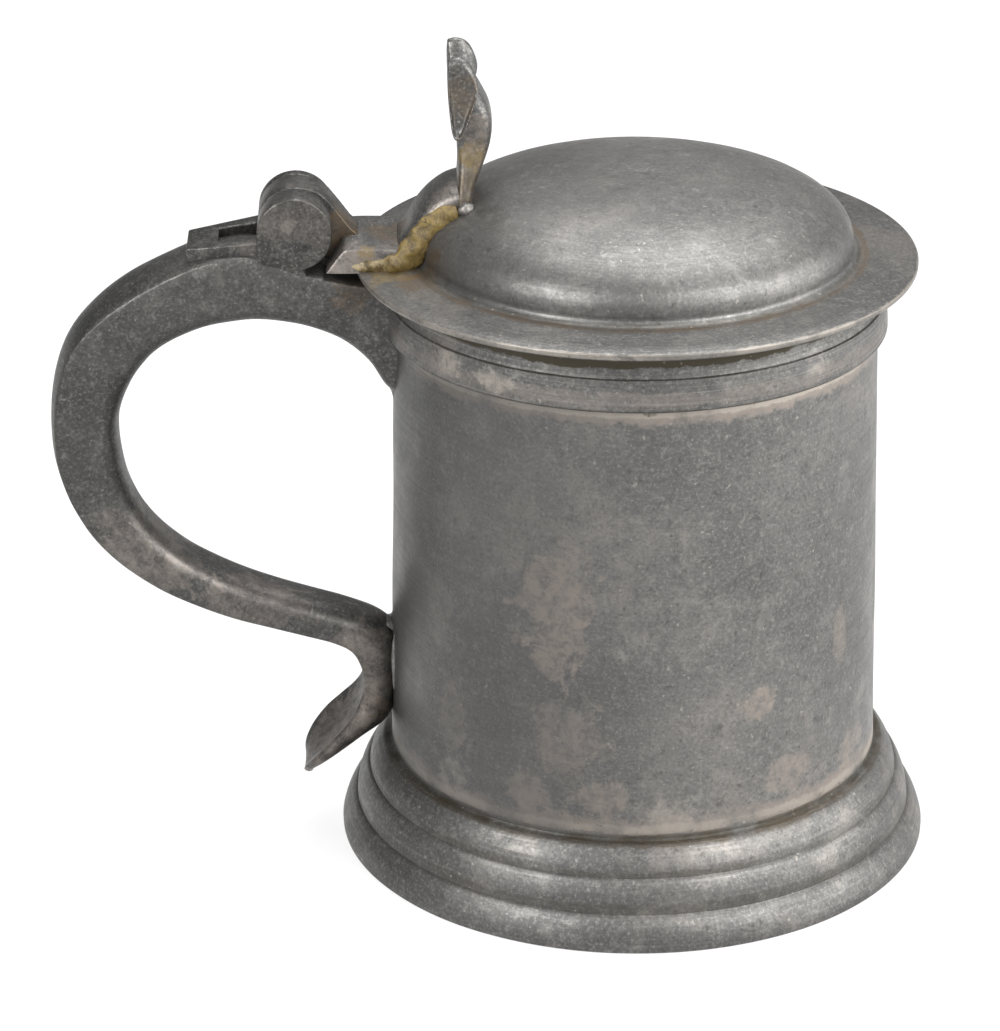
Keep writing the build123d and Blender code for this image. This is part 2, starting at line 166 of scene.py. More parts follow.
def loft(name, rings, sharp=SMOOTH_UP_TO):
    """Closed skin over rings of points, with both ends capped."""
    count = len(rings[0])
    verts = [point for ring in rings for point in ring]
    faces = []
    for i in range(len(rings) - 1):
        for j in range(count):
            k = (j + 1) % count
            faces.append((i * count + j, i * count + k, (i + 1) * count + k, (i + 1) * count + j))
    faces.append(tuple(range(count)))
    faces.append(tuple((len(rings) - 1) * count + j for j in range(count)))
    return add_mesh(name, verts, faces, sharp)


def prism(name, outline, near, far):
    """Plate from a closed outline in x and z, from y = near to y = far."""
    return loft(name, [[(x, y, z) for x, z in outline] for y in (near, far)])


def soften(piece, bevel):
    """Rounds the edges of a piece."""
    modifier = piece.modifiers.new("soften", "BEVEL")
    modifier.width = bevel * MM
    modifier.segments = 3
    modifier.limit_method = "ANGLE"
    modifier.angle_limit = math.radians(30)
    apply_modifiers(piece)
    piece.data.shade_smooth()
    piece.data.set_sharp_from_angle(angle=math.radians(40))


def about_hinge(radius, degrees):
    """Point about the hinge's axis, as x and z."""
    turn = math.radians(degrees)
    return HINGE[0] + radius * math.cos(turn), HINGE[1] + radius * math.sin(turn)


class Shader:
    """A node material that is built up from masks over the object's own place, in millimetres."""

    LINES_AROUND = 1.6
    SPOT_FRAY = 3.2
    RING_FRAY = 3.0

    def __init__(self, name):
        self.material = bpy.data.materials.new(name)
        self.material.use_nodes = True
        self.tree = self.material.node_tree
        coordinates = self.node("ShaderNodeTexCoord").outputs["Object"]
        scaling = {0: coordinates, "Scale": 1 / MM}
        self.place = self.node("ShaderNodeVectorMath", {"operation": "SCALE"}, scaling).outputs["Vector"]
        self.x, self.y, self.z = self.node("ShaderNodeSeparateXYZ", {}, {0: self.place}).outputs
        squares = self.calc("ADD", self.calc("POWER", self.x, 2), self.calc("POWER", self.y, 2))
        self.radius = self.calc("SQRT", squares)

    def node(self, kind, settings=None, inputs=None):
        """New node with its settings, and its inputs fed with values or other nodes' sockets."""
        made = self.tree.nodes.new(kind)
        for key, value in (settings or {}).items():
            setattr(made, key, value)
        for key, value in (inputs or {}).items():
            self.feed(made.inputs[key], value)
        return made

    def feed(self, socket, value):
        """Links a socket to another one, or sets its value."""
        if isinstance(value, bpy.types.NodeSocket):
            self.tree.links.new(value, socket)
        else:
            socket.default_value = value

    def surface(self, property_name, value):
        """Sets a property of the finished surface."""
        self.feed(self.tree.nodes["Principled BSDF"].inputs[property_name], value)

    def calc(self, operation, first, second=0.0):
        """Result of a math node."""
        return self.node("ShaderNodeMath", {"operation": operation}, {0: first, 1: second}).outputs[0]

    def noise(self, scale, detail=4.0, rough=0.6, distortion=0.0, place=None):
        """Noise from 0 to 1 with scale as features to the millimetre."""
        inputs = {
            "Vector": place or self.place,
            "Scale": scale,
            "Detail": detail,
            "Roughness": rough,
            "Distortion": distortion,
        }
        return self.node("ShaderNodeTexNoise", {}, inputs).outputs["Fac"]

    def warped(self, scale, reach):
        """The place pushed about by noise, for broken lines."""
        inputs = {"Vector": self.place, "Scale": scale, "Detail": 3.0}
        colour = self.node("ShaderNodeTexNoise", {}, inputs).outputs["Color"]
        inputs = {0: colour, "Scale": reach}
        push = self.node("ShaderNodeVectorMath", {"operation": "SCALE"}, inputs).outputs["Vector"]
        inputs = {0: self.place, 1: push}
        return self.node("ShaderNodeVectorMath", {"operation": "ADD"}, inputs).outputs["Vector"]

    def step(self, value, low, high):
        """0 at low and 1 at high, eased between them. low may be the greater."""
        inputs = {"Value": value, "From Min": low, "From Max": high}
        return self.node("ShaderNodeMapRange", {"interpolation_type": "SMOOTHSTEP"}, inputs).outputs[0]

    def span(self, value, low, high):
        """A value from 0 to 1 stretched to run from low to high."""
        inputs = {"Value": value, "To Min": low, "To Max": high}
        return self.node("ShaderNodeMapRange", {}, inputs).outputs[0]

    def blend(self, share, under, over):
        """Mix of two colours, with share as the part of the second."""
        made = self.node("ShaderNodeMix", {"data_type": "RGBA"})
        self.feed(made.inputs[0], share)
        self.feed(made.inputs[6], under)
        self.feed(made.inputs[7], over)
        return made.outputs[2]

    def lay(self, colour, mask, share, paint):
        """A colour with a share of paint over it where the mask is."""
        return self.blend(self.calc("MULTIPLY", mask, share), colour, paint)

    def fray(self, away, ragged, reach):
        """A distance made uneven by noise."""
        return self.calc("ADD", away, self.calc("MULTIPLY", self.calc("SUBTRACT", ragged, 0.5), reach))

    def spot(self, centre, size, stretch, ragged):
        """Ragged patch about a point, stretched in height."""
        dx = self.calc("SUBTRACT", self.x, centre[0])
        dy = self.calc("SUBTRACT", self.y, centre[1])
        dz = self.calc("DIVIDE", self.calc("SUBTRACT", self.z, centre[2]), stretch)
        squares = self.calc("ADD", self.calc("POWER", dx, 2), self.calc("POWER", dy, 2))
        away = self.calc("SQRT", self.calc("ADD", squares, self.calc("POWER", dz, 2)))
        return self.step(self.fray(away, ragged, size * self.SPOT_FRAY), size, size * 0.6)

    def ring(self, along, centre, width, ragged):
        """Ragged line where the value along lies within a width of the centre."""
        away = self.calc("ABSOLUTE", self.calc("SUBTRACT", along, centre))
        return self.step(self.fray(away, ragged, width * self.RING_FRAY), width, width * 0.4)

    def turned_lines(self, fine):
        """Fine lines that run round the Z axis, with fine as lines to the millimetre."""
        turn = self.calc("ARCTAN2", self.y, self.x)
        inputs = {
            0: self.calc("MULTIPLY", turn, self.LINES_AROUND),
            1: self.calc("MULTIPLY", self.radius, fine),
            2: self.calc("MULTIPLY", self.z, fine),
        }
        place = self.node("ShaderNodeCombineXYZ", {}, inputs).outputs[0]
        return self.noise(1.0, detail=3.0, rough=0.7, place=place)

    def bump(self, height, strength, distance, normal=None):
        """Normal for a relief of some millimetres, on top of another normal."""
        inputs = {"Height": height, "Strength": strength, "Distance": distance * MM}
        if normal:
            inputs["Normal"] = normal
        return self.node("ShaderNodeBump", {}, inputs).outputs["Normal"]


# Clean metal from its shaded to its bright grains, scaled by each piece's tone
PEWTER_DARK = (0.066, 0.0655, 0.064)
PEWTER_MIDDLE = (0.156, 0.153, 0.147)
PEWTER_LIGHT = (0.272, 0.264, 0.249)
PEWTER_METALLIC = 0.82
ROUGH_DULL = 0.56
ROUGH_WORN = 0.38
# Painted shade, darker on the side towards the handle, away from the light: where it starts and where it is
# full, in x
SHADE_START = 18.0
SHADE_FULL = -30.0

# What lies on the metal, with the dark and the tan also painting shadow and light in a few places
TAN = (0.27, 0.232, 0.203, 1)
CHALK = (0.38, 0.345, 0.30, 1)
GRIME_AND_SHADE = (0.050, 0.043, 0.030, 1)
RUST = (0.125, 0.088, 0.052, 1)
MUSTARD = (0.22, 0.163, 0.075, 1)

# The glue, which is creamy at its end near the hinge: where that starts and where it is full, in x
GLUE_DARK = (0.055, 0.036, 0.010, 1)
GLUE_BODY = (0.155, 0.107, 0.027, 1)
GLUE_PALE = (0.225, 0.171, 0.062, 1)
GLUE_CREAM = (0.31, 0.262, 0.175, 1)
GLUE_CRACK = (0.024, 0.014, 0.005, 1)
CREAM_START = -48.5
CREAM_FULL = -53.5


def toned(colour, tone):
    """A shader's colour from a metal colour and a tone."""
    return tuple(tone * channel for channel in colour) + (1,)


def pewter(name, tone, warm, turned, rings=(), spots=(), dirt=0.4, grit=0.65, shade=0.0):
    """Aged pewter: mottled greys, tan oxide, pits and fine scratches, with stated rings and spots of colour.

    tone is how light the metal is, warm how much tan oxide there is, turned how strong the lathe's lines are,
    dirt how dark the pits are and grit how strongly the fine grain shows. shade is painted shade: how much
    darker the metal is painted on the side towards the handle, away from the light. A ring lists the value it
    follows, its place, width, paint and share, which above 1 fills the line's thin parts too. A spot lists
    its centre, size, stretch in height, paint and share. Most rings and spots are stains; a few paint shadow
    or light.
    """
    s = Shader(name)
    broad = s.noise(0.022, detail=3.0, rough=0.55, distortion=0.6)
    mottle = s.noise(0.11, detail=6.0, rough=0.68, distortion=0.3)
    grain = s.noise(1.5, rough=0.75)
    fleck = s.noise(0.38, detail=5.0, rough=0.7, distortion=0.4)
    patches = s.noise(0.07, distortion=0.5)
    streaks = s.noise(0.16, detail=7.0, rough=0.72, distortion=0.8)
    specks = s.noise(0.75, detail=2.0, rough=0.5)
    lines = s.turned_lines(2.2)
    dark = toned(PEWTER_DARK, tone)
    middle = toned(PEWTER_MIDDLE, tone)
    light = toned(PEWTER_LIGHT, 0.5 + 0.5 * tone)
    colour = s.blend(s.span(s.step(broad, 0.3, 0.7), 0.45, 1.0), dark, middle)
    colour = s.lay(colour, s.step(mottle, 0.5, 0.75), 0.42, light)
    oxide = s.calc("ADD", broad, s.calc("MULTIPLY", mottle, 0.8))
    colour = s.lay(colour, s.step(oxide, 0.93, 1.12), warm, TAN)
    colour = s.lay(colour, s.step(fleck, 0.53, 0.72), 0.5, light)
    colour = s.lay(colour, s.step(fleck, 0.46, 0.3), 0.55, dark)
    colour = s.lay(colour, s.step(grain, 0.5, 0.7), grit, light)
    colour = s.lay(colour, s.step(grain, 0.48, 0.29), grit, dark)
    if turned:
        colour = s.lay(colour, s.step(lines, 0.52, 0.72), turned * 0.6, light)
        colour = s.lay(colour, s.step(lines, 0.48, 0.28), turned * 0.6, dark)
    broken = s.span(s.step(patches, 0.34, 0.58), 0.3, 1.0)
    for along, centre, width, paint, share in rings:
        line = s.ring(s.z if along == "z" else s.radius, centre, width, streaks)
        colour = s.lay(colour, s.calc("MULTIPLY", line, broken), share, paint)
    flaked = s.span(s.step(fleck, 0.38, 0.6), 0.35, 1.0)
    for centre, size, stretch, paint, share in spots:
        patch = s.spot(centre, size, stretch, streaks)
        colour = s.lay(colour, s.calc("MULTIPLY", patch, flaked), share, paint)
    colour = s.lay(colour, s.step(specks, 0.70, 0.76), 0.5 * tone, CHALK)
    colour = s.lay(colour, s.step(specks, 0.30, 0.25), dirt, GRIME_AND_SHADE)
    # Painted shade: the side towards the handle, away from the light, is painted darker
    if shade:
        colour = s.lay(colour, s.step(s.x, SHADE_START, SHADE_FULL), shade, dark)
    worn = s.calc("ADD", s.calc("MULTIPLY", mottle, 0.5), s.calc("MULTIPLY", lines, 0.5))
    pitted = s.bump(grain, strength=0.22, distance=0.12)
    hammered = s.bump(mottle, strength=0.18, distance=0.6, normal=pitted)
    s.surface("Base Color", colour)
    s.surface("Metallic", PEWTER_METALLIC)
    s.surface("Roughness", s.span(s.step(worn, 0.3, 0.7), ROUGH_DULL, ROUGH_WORN))
    s.surface("Normal", s.bump(lines, strength=turned, distance=0.06, normal=hammered))
    return s.material


def old_glue(name):
    """Yellow-brown adhesive: lumpy, cracked, paler where it is thick."""
    s = Shader(name)
    lumps = s.noise(0.32, distortion=0.8)
    grain = s.noise(1.8, rough=0.7)
    inputs = {"Vector": s.warped(0.5, 2.4), "Scale": 0.3, "Randomness": 1.0}
    cells = s.node("ShaderNodeTexVoronoi", {"feature": "DISTANCE_TO_EDGE"}, inputs).outputs["Distance"]
    crack = s.calc("MULTIPLY", s.step(cells, 0.06, 0.0), s.step(lumps, 0.5, 0.62))
    colour = s.blend(s.step(lumps, 0.34, 0.62), GLUE_DARK, GLUE_BODY)
    colour = s.lay(colour, s.step(grain, 0.5, 0.72), 0.55, GLUE_PALE)
    cream = s.calc("MULTIPLY", s.step(s.x, CREAM_START, CREAM_FULL), s.step(lumps, 0.36, 0.55))
    colour = s.lay(colour, cream, 0.5, GLUE_CREAM)
    colour = s.blend(crack, colour, GLUE_CRACK)
    grainy = s.bump(grain, strength=0.35, distance=0.25)
    lumpy = s.bump(lumps, strength=0.5, distance=0.9, normal=grainy)
    s.surface("Base Color", colour)
    s.surface("Roughness", s.span(grain, 0.36, 0.75))
    s.surface("Normal", s.bump(crack, strength=0.4, distance=-0.15, normal=lumpy))
    return s.material


DRUM_PEWTER = pewter(
    "pewter_drum",
    tone=0.97,
    warm=0.25,
    turned=0.1,
    grit=0.6,
    # painted shade on the drum's side towards the handle, away from the light
    shade=0.58,
    rings=(
        ("z", 112.4, 2.2, TAN, 0.8),
        ("z", 112.9, 1.0, CHALK, 0.8),
        ("z", 23.2, 3.0, TAN, 0.85),
        ("z", 22.8, 1.2, CHALK, 0.6),
        ("z", 20.9, 0.8, GRIME_AND_SHADE, 0.8),
    ),
    spots=(
        ((-18.6, -46.9, 70.0), 9.5, 1.7, TAN, 0.95),
        ((-16.0, -47.5, 42.0), 9.0, 1.1, TAN, 0.6),
        ((23.5, -44.5, 48.0), 5.5, 0.8, TAN, 0.8),
        ((-38.0, -33.0, 40.0), 6.0, 1.8, TAN, 0.5),
        ((-41.0, -29.0, 62.0), 5.0, 1.6, TAN, 0.35),
        ((-38.0, -34.0, 27.0), 6.0, 0.8, CHALK, 0.5),
        ((-24.0, -45.0, 29.0), 6.0, 0.8, TAN, 0.7),
        ((-8.0, -50.0, 29.0), 7.0, 0.7, TAN, 0.7),
        ((6.0, -50.5, 26.0), 6.0, 0.6, CHALK, 0.45),
        ((30.0, -41.0, 30.0), 7.0, 0.8, TAN, 0.7),
        ((44.0, -25.0, 29.0), 6.0, 0.8, TAN, 0.6),
        ((41.0, -30.0, 55.0), 4.0, 1.6, TAN, 0.5),
        ((-50.0, -9.0, 24.0), 4.5, 1.2, RUST, 0.55),
        ((0.5, -49.6, 113.1), 1.6, 0.4, GRIME_AND_SHADE, 1.0),
    ),
)
FOOT_PEWTER = pewter(
    "pewter_foot",
    tone=0.8,
    warm=0.3,
    turned=0.3,
    rings=(
        ("radius", 51.6, 0.9, GRIME_AND_SHADE, 0.9),
        ("radius", 52.5, 0.8, RUST, 0.3),
        ("radius", 52.7, 0.5, GRIME_AND_SHADE, 0.5),
        ("radius", 55.9, 0.3, GRIME_AND_SHADE, 0.4),
        ("radius", 58.7, 0.3, GRIME_AND_SHADE, 0.4),
    ),
)
BAND_PEWTER = pewter(
    "pewter_band",
    tone=0.84,
    warm=0.35,
    turned=0.7,
    rings=(
        # Painted shadow: a dark line on the band's top, just under the lid's brim, where the brim's shadow
        # falls
        ("z", 123.8, 1.1, GRIME_AND_SHADE, 2.6),
        ("z", BAND_LINE, 0.25, GRIME_AND_SHADE, 0.45),
        ("z", 116.5, 2.0, TAN, 0.3),
        ("z", 114.2, 0.3, GRIME_AND_SHADE, 0.6),
    ),
    spots=(
        ((-38.0, -34.0, 118.0), 5.0, 0.5, CHALK, 0.6),
        ((-29.0, -42.0, 117.5), 4.5, 0.5, CHALK, 0.5),
        ((34.0, -38.0, 118.0), 4.0, 0.4, CHALK, 0.35),
    ),
)
LID_PEWTER = pewter(
    "pewter_lid",
    tone=0.95,
    warm=0.15,
    turned=0.16,
    grit=0.5,
    # painted shade on the lid's side towards the handle, away from the light
    shade=0.25,
    rings=(
        ("radius", 46.0, 0.9, RUST, 0.55),
        ("radius", 45.2, 0.5, GRIME_AND_SHADE, 0.6),
    ),
    spots=(
        ((-43.0, -15.0, 131.5), 6.0, 0.8, RUST, 0.7),
    ),
)
BRIM_PEWTER = pewter(
    "pewter_brim",
    tone=0.7,
    warm=0.25,
    turned=0.35,
    rings=(
        ("radius", 46.6, 1.0, RUST, 0.6),
        ("radius", 57.2, 0.3, CHALK, 0.5),
    ),
    spots=(
        ((-50.0, -13.0, 129.0), 6.5, 0.2, MUSTARD, 0.85),
        ((-45.5, -18.0, 129.1), 5.0, 0.2, RUST, 0.6),
    ),
)
HANDLE_PEWTER = pewter(
    "pewter_handle",
    tone=0.46,
    warm=0.12,
    turned=0.0,
    spots=(
        # The first four tan spots are painted light: they lighten the lower arm, lit from the floor below and
        # somewhat worn too, and the strut and the tail's scoop, where the handle sits in shade
        ((-100.0, -8.0, 66.0), 16.0, 0.8, TAN, 0.3),
        ((-80.0, -8.0, 53.0), 14.0, 0.6, TAN, 0.3),
        ((-63.0, -3.0, 20.0), 14.0, 1.0, TAN, 0.5),
        ((-55.0, -6.5, 38.0), 10.0, 1.4, TAN, 0.4),
        ((-51.0, -7.0, 27.0), 4.0, 1.2, RUST, 0.5),
        ((-58.0, -9.0, 124.0), 5.0, 1.0, RUST, 0.4),
    ),
    dirt=0.5,
    grit=0.6,
)
ROOT_SOLDER = pewter("solder_root", tone=0.5, warm=0.3, turned=0.0, dirt=0.6, grit=0.9)
BRIGHT_SOLDER = pewter("solder_bright", tone=1.15, warm=0.5, turned=0.0, dirt=0.7, grit=0.9)
HINGE_PEWTER = pewter(
    "pewter_hinge",
    tone=0.3,
    warm=0.2,
    turned=0.0,
    spots=(
        ((-60.5, -1.0, 133.0), 6.5, 1.2, RUST, 0.85),
        ((-70.8, -9.2, 138.0), 2.4, 0.8, CHALK, 0.2),
    ),
    dirt=0.6,
    grit=0.7,
)
STRAP_PEWTER = pewter(
    "pewter_strap",
    tone=0.62,
    warm=0.7,
    turned=0.0,
    spots=(
        ((-57.0, -10.0, 130.0), 6.0, 1.0, TAN, 0.4),
        ((-55.0, -9.5, 132.8), 3.0, 0.6, MUSTARD, 0.6),
        ((-49.0, 0.0, 133.5), 6.5, 1.0, RUST, 0.6),
    ),
    dirt=0.6,
    grit=0.9,
)
THUMB_PEWTER = pewter(
    "pewter_thumb",
    tone=0.72,
    warm=0.9,
    turned=0.0,
    spots=(
        ((-34.0, -7.5, 144.0), 5.0, 1.0, RUST, 0.6),
        ((-34.0, -8.0, 144.5), 4.5, 1.0, GRIME_AND_SHADE, 0.55),
        ((-33.7, -6.0, 152.0), 3.4, 1.1, MUSTARD, 0.75),
        ((-35.0, -10.5, 163.0), 5.0, 1.6, RUST, 0.45),
        ((-35.2, -10.5, 165.5), 1.6, 1.4, CHALK, 0.6),
        ((-33.0, -6.5, 156.0), 3.0, 1.6, TAN, 0.6),
    ),
    dirt=0.9,
    grit=1.0,
)
INSIDE_PEWTER = pewter("pewter_inside", tone=0.8, warm=0.5, turned=0.4, dirt=0.5)
GLUE = old_glue("glue_aged")


def make_foot():
    """Flared skirt of three steps, hollow below, with the solder where the drum stands in it."""
    low_edge = (62.0, 1.3)
    low_top = (59.4, 6.9)
    mid_edge = (58.8, 7.3)
    mid_top = (56.6, 13.8)
    high_edge = (56.0, 14.2)
    high_top = (53.0, 19.8)
    profile = [(59.2, 0.0), (61.6, 0.0), (61.95, 0.3), low_edge]
    profile += arc(low_edge, low_top, rise=0.35, count=8)
    profile += [(59.05, 7.2), mid_edge]
    profile += arc(mid_edge, mid_top, rise=0.42, count=9)
    profile += [(56.25, 14.1), high_edge]
    profile += arc(high_edge, high_top, rise=0.42, count=9)
    profile += [(52.5, 20.15), (51.9, 20.2), (51.4, 20.5), (51.22, 20.7), (50.2, 20.05)]
    profile += [(45.0, 20.0), (45.0, 17.6), (50.1, 17.6)]
    foot = lathe("foot_moulding", profile, wobble=0.10)
    seat(foot, "vessel", "pewter", FOOT_PEWTER, "foot_ring", "foot_solder")


def drum_radius(z):
    """Radius of the drum's outside at a height."""
    share = (z - DRUM_BOTTOM[1]) / (DRUM_TOP[1] - DRUM_BOTTOM[1])
    return DRUM_BOTTOM[0] + share * (DRUM_TOP[0] - DRUM_BOTTOM[0])


def make_drum():
    """Tapered wall, open at both ends."""
    rise = (DRUM_TOP[1] - DRUM_BOTTOM[1]) / DRUM_ROWS
    heights = [DRUM_BOTTOM[1] + rise * i for i in range(DRUM_ROWS + 1)]
    outside = [(drum_radius(z), z) for z in heights]
    inside = [(radius - DRUM_WALL, z) for radius, z in reversed(outside)]
    drum = lathe("drum_wall", outside + inside, wobble=0.16, sharp=50)
    seat(drum, "vessel", "pewter", DRUM_PEWTER, "drum")


def make_band():
    """Moulded ring round the top of the drum, with the solder under it."""
    low = (51.5, BAND_LOW + 0.3)
    line = (50.95, BAND_LINE - 0.15)
    start = (50.6, BAND_LINE + 0.1)
    rim = (50.45, 125.7)
    profile = [(49.57, BAND_LOW - 0.7), (49.9, BAND_LOW - 0.25), (50.3, BAND_LOW), (51.25, BAND_LOW), low]
    profile += arc(low, line, rise=0.12, count=6)
    profile += [(50.75, BAND_LINE), start]
    profile += arc(start, rim, rise=-0.35, count=10)
    profile += [(50.25, 126.0), (49.35, 126.05)]
    band = lathe("lip_moulding", profile, wobble=0.05)
    seat(band, "vessel", "pewter", BAND_PEWTER, "lip_band", "lip_solder")


def make_brim():
    """Nearly flat brim of the lid, with a rounded and undercut edge."""
    profile = [
        (44.05, LID_LOW),
        (55.0, LID_LOW),
        (56.5, LID_LOW + 0.5),
        (57.15, LID_LOW + 0.9),
        (BRIM_RADIUS, LID_LOW + 1.15),
        (BRIM_RADIUS, BRIM_TOP - 0.4),
        (57.18, BRIM_TOP - 0.18),
        (56.9, BRIM_TOP - 0.03),
        (53.5, 128.85),
        (49.5, 129.1),
        (46.2, 129.29),
        (44.05, 129.3),
    ]
    brim = lathe("lid_brim", profile, wobble=0.06)
    seat(brim, "lid", "pewter", BRIM_PEWTER, "lid_flange")


def dome_point(wall, degrees):
    """Radius and height on the dome's curve, drawn in by the wall."""
    turn = math.radians(degrees)
    radius = (DOME_RADIUS - wall) * max(math.cos(turn), 0.0) ** (2 / DOME_POWER)
    return max(radius, 0.02), DOME_SPRING + (DOME_RISE - wall) * math.sin(turn) ** (2 / DOME_POWER)


def lid_bed(x, y):
    """Height inside the lid's wall, half a wall under its upper face, where what sits on the lid ends."""
    radius = math.hypot(x, y)
    if radius >= DOME_RADIUS:
        return BRIM_TOP - DOME_WALL / 2
    rise = (1 - (radius / DOME_RADIUS) ** DOME_POWER) ** (1 / DOME_POWER)
    return DOME_SPRING + DOME_RISE * rise - DOME_WALL / 2


def make_dome():
    """Low hollow dome with a small fillet round its foot."""
    profile = [(42.5, DOME_FOOT[1]), DOME_FOOT]
    profile += arc(DOME_FOOT, (DOME_RADIUS, DOME_SPRING), rise=-0.4, count=6)
    profile += [dome_point(0.0, angle) for angle in DOME_ANGLES[1:]]
    profile += [dome_point(DOME_WALL, angle) for angle in reversed(DOME_ANGLES)]
    dome = lathe("lid_bun", profile, wobble=0.10)
    seat(dome, "lid", "pewter", LID_PEWTER, "lid_dome")


# Sections of the handle: back edge and loop side as x and z, half width, crown of the back (a scoop below 0)
# and squareness of the loop side. They run from the root under the lid round the loop, then down the strut
# into the scooped tail.
HANDLE = (
    (-47.4, 123.4, -47.4, 98.4, 9.15, 0.6, 4.0),
    (-52.0, 124.4, -51.2, 101.4, 9.15, 0.6, 4.0),
    (-57.5, 125.2, -54.6, 107.0, 9.15, 0.7, 4.0),
    (-62.5, 126.2, -59.8, 111.7, 9.15, 0.7, 4.0),
    (-67.5, 127.5, -66.3, 114.6, 9.15, 0.8, 4.0),
    (-73.0, 129.9, -72.4, 115.9, 9.15, 0.8, 4.0),
    (-78.5, 131.2, -78.0, 116.3, 9.1, 0.8, 4.0),
    (-85.4, 130.4, -83.4, 115.7, 9.0, 0.9, 4.0),
    (-91.0, 128.5, -87.8, 114.8, 8.9, 1.4, 4.0),
    (-97.3, 125.4, -91.8, 113.3, 8.8, 2.0, 4.0),
    (-102.8, 122.1, -95.6, 111.3, 8.7, 2.4, 3.8),
    (-108.2, 118.2, -98.9, 108.7, 8.5, 2.2, 3.6),
    (-113.2, 113.3, -102.0, 105.0, 8.4, 1.8, 3.6),
    (-116.3, 108.3, -104.0, 101.5, 8.3, 1.5, 3.5),
    (-118.2, 102.0, -105.7, 97.4, 8.2, 1.4, 3.5),
    (-119.1, 94.6, -106.6, 92.9, 8.1, 1.3, 3.5),
    (-118.9, 86.8, -106.5, 87.5, 8.0, 1.2, 3.5),
    (-117.3, 79.8, -105.5, 81.2, 7.9, 1.1, 3.5),
    (-115.0, 74.3, -103.7, 76.1, 7.8, 1.0, 3.5),
    (-111.6, 68.7, -101.5, 72.2, 7.7, 1.0, 3.5),
    (-106.4, 63.1, -98.2, 68.2, 7.6, 1.0, 3.5),
    (-99.2, 57.7, -93.5, 64.2, 7.5, 1.0, 3.4),
    (-92.0, 53.9, -88.4, 61.1, 7.4, 0.9, 3.3),
    (-84.0, 50.6, -81.4, 57.7, 7.3, 0.9, 3.2),
    (-76.0, 48.2, -74.0, 55.0, 7.2, 0.8, 3.0),
    (-68.8, 46.1, -67.0, 52.8, 7.1, 0.7, 3.0),
    (-63.0, 44.3, -60.2, 50.7, 7.0, 0.6, 3.0),
    (-59.4, 42.2, -53.6, 48.0, 6.8, 0.4, 3.0),
    (-57.6, 39.0, -50.2, 44.4, 6.6, 0.2, 3.0),
    (-57.0, 35.4, -50.0, 38.0, 6.5, -0.1, 3.0),
    (-57.5, 31.8, -50.0, 30.6, 6.8, -0.6, 2.8),
    (-59.3, 28.4, -51.8, 25.6, 8.8, -1.5, 2.6),
    (-62.4, 25.0, -56.6, 22.3, 10.4, -2.3, 2.4),
    (-65.6, 21.8, -61.0, 19.2, 11.0, -2.6, 2.3),
    (-68.2, 18.5, -64.6, 16.5, 9.9, -1.8, 2.3),
    (-69.6, 16.1, -66.5, 14.9, 8.0, -1.0, 2.3),
    (-70.0, 14.6, -67.5, 13.7, 6.2, -0.4, 2.3),
    (-69.8, 13.6, -67.9, 12.9, 4.8, -0.1, 2.3),
    (-69.4, 12.9, -68.0, 12.4, 3.4, 0.0, 2.3),
    (-69.0, 12.45, -68.1, 12.1, 2.0, 0.0, 2.3),
    (-68.6, 12.25, -68.2, 12.05, 0.6, 0.0, 2.3),
)
BACK_STEPS = 14
LOOP_STEPS = 30
# Rounding of the handle's back edges, and what each millimetre of scoop adds to it
EDGE_BEVEL = 0.3
RIM_BEVEL = 0.2


def handle_ring(station):
    """One cross-section of the handle: crowned or scooped back, then the sides and the loop side."""
    back_x, back_z, loop_x, loop_z, half, crown, square = station
    back = Vector((back_x, 0, back_z))
    deep = Vector((loop_x - back_x, 0, loop_z - back_z))
    depth = deep.length
    inward = deep.normalized()
    bevel = min(EDGE_BEVEL + RIM_BEVEL * max(-crown, 0.0), half * 0.3, depth * 0.3)
    ring = []
    for i in range(BACK_STEPS + 1):
        y = (half - bevel) * (2 * i / BACK_STEPS - 1)
        drop = -crown * (1 - (y / half) ** 2)
        ring.append(back + inward * drop + Vector((0, y, 0)))
    for i in range(LOOP_STEPS + 1):
        turn = math.pi * i / LOOP_STEPS
        cos = math.cos(turn)
        y = half * math.copysign(abs(cos) ** (2 / square), cos)
        drop = bevel + (depth - bevel) * math.sin(turn) ** (2 / square)
        ring.append(back + inward * drop + Vector((0, y, 0)))
    return ring


def cut_room(piece):
    """Cuts the turning room of the lid's knuckle out of a piece."""
    outline = [about_hinge(BARREL + KNUCKLE_ROOM, 360 * i / ROOM_SIDES) for i in range(ROOM_SIDES)]
    room = prism("knuckle_room", outline, KNUCKLE[0] - KNUCKLE_GAP, KNUCKLE[1] + KNUCKLE_GAP)
    cut = piece.modifiers.new("room", "BOOLEAN")
    cut.operation = "DIFFERENCE"
    cut.solver = "EXACT"
    cut.object = room
    apply_modifiers(piece)
    bpy.data.objects.remove(room)


def make_handle():
    """The whole handle as one skin, from its root to its tail."""
    rings = [handle_ring(station) for station in smooth_line(HANDLE, 5)]
    handle = loft("handle_scroll", rings, sharp=45)
    cut_room(handle)
    seat(handle, "vessel", "pewter", HANDLE_PEWTER, "handle_shell", "handle_back", "handle_tail")


